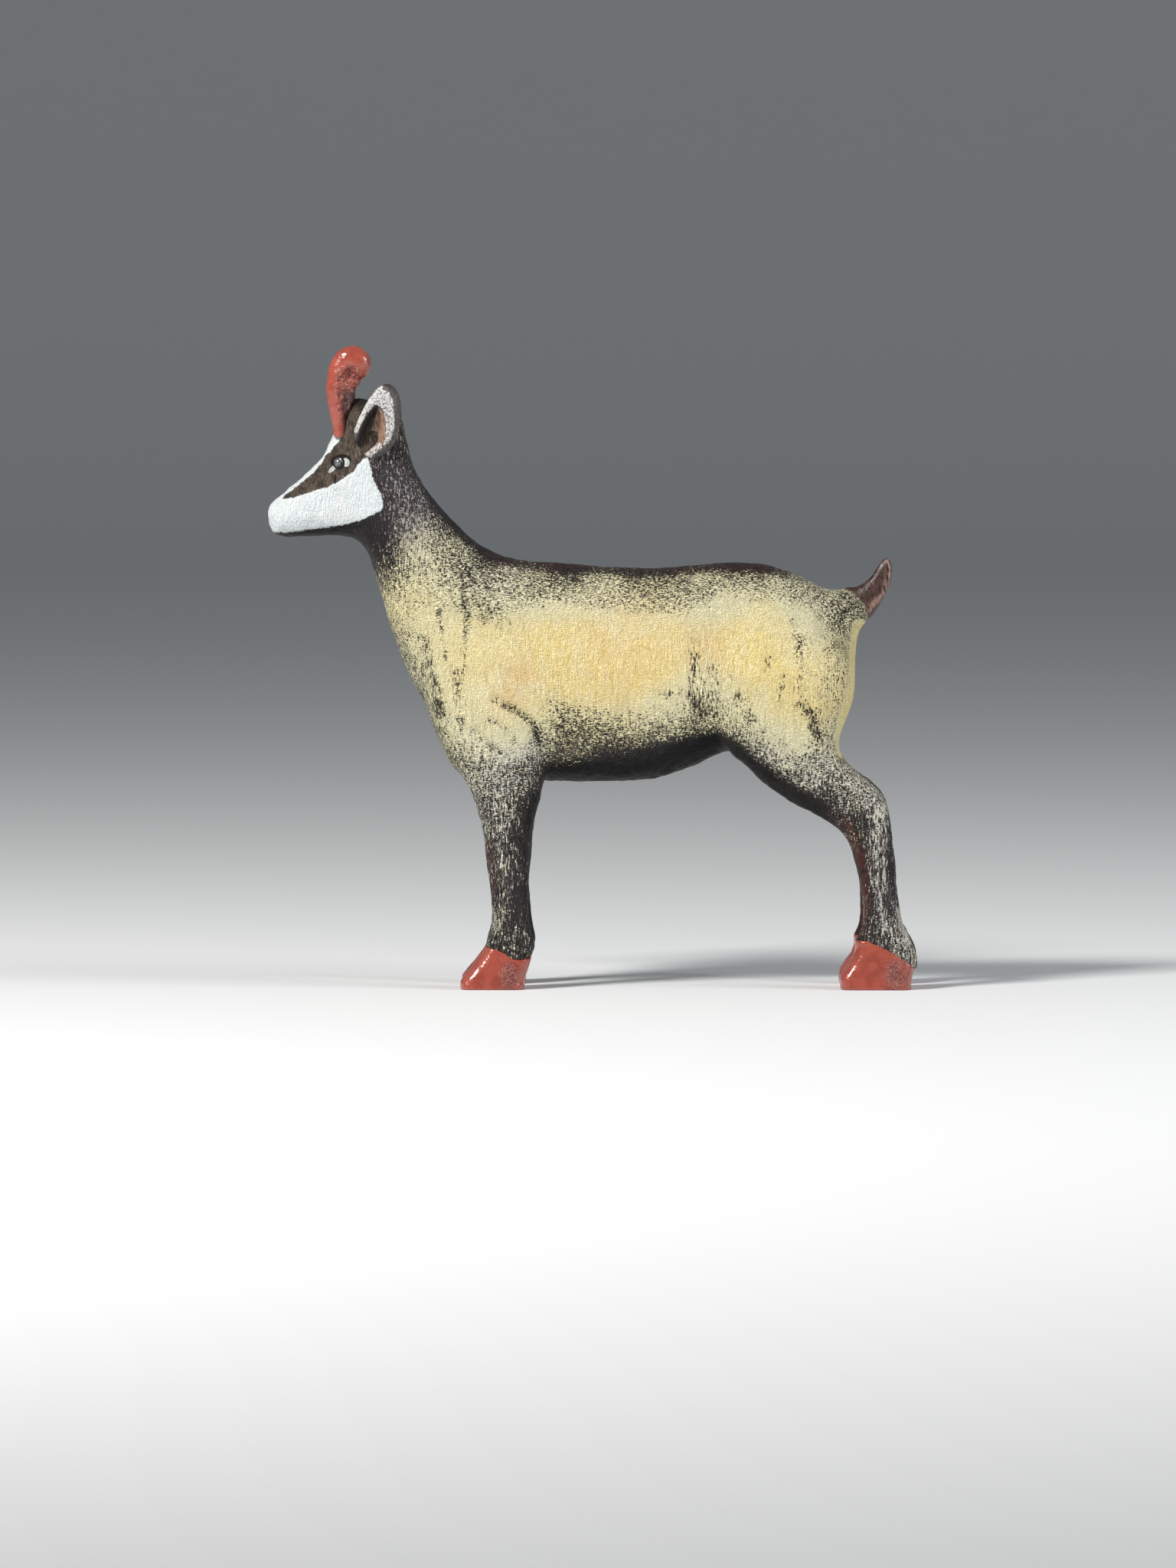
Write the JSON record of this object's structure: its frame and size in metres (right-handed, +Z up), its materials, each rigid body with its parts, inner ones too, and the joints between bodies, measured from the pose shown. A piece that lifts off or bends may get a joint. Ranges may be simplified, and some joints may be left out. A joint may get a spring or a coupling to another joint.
{
  "type": "carved wooden chamois",
  "caption": "Small carved and painted wooden chamois standing on its hooves, with hooked horns, leaf ears and an upright tail, glued up with tenons and hidden dowels.",
  "frame": {"origin": "on the ground, in the middle of the figure's length and width", "axes": "+Z up; the animal looks along -X; its left side is at -Y"},
  "size_m": [0.1056, 0.0226, 0.1045],
  "materials": {
    "coat": "cream-yellow paint dry-brushed over a near-black brown base, white face mask; satin to matt",
    "red_gloss": "brick-red gloss enamel on carved wood",
    "ear_paint": "brown-grey with a stippled white rim, matt",
    "tail_brown": "dark red-brown stain, satin",
    "eye_gloss": "near-black gloss",
    "bare_wood": "bare beech, unpainted, hidden inside"
  },
  "bodies": {
    "root": {"body": "coat", "foreleg_left": "coat", "foreleg_right": "coat", "hind_leg_left": "coat", "hind_leg_right": "coat", "hoof_fore_left": "red_gloss", "hoof_fore_right": "red_gloss", "hoof_hind_left": "red_gloss", "hoof_hind_right": "red_gloss", "horn_left": "red_gloss", "horn_right": "red_gloss", "ear_left": "ear_paint", "ear_right": "ear_paint", "tail": "tail_brown", "eye_left": "eye_gloss", "eye_right": "eye_gloss", "shoulder_dowel_upper": "bare_wood", "shoulder_dowel_lower": "bare_wood", "haunch_dowel_upper": "bare_wood", "haunch_dowel_lower": "bare_wood"}
  },
  "joints": []
}
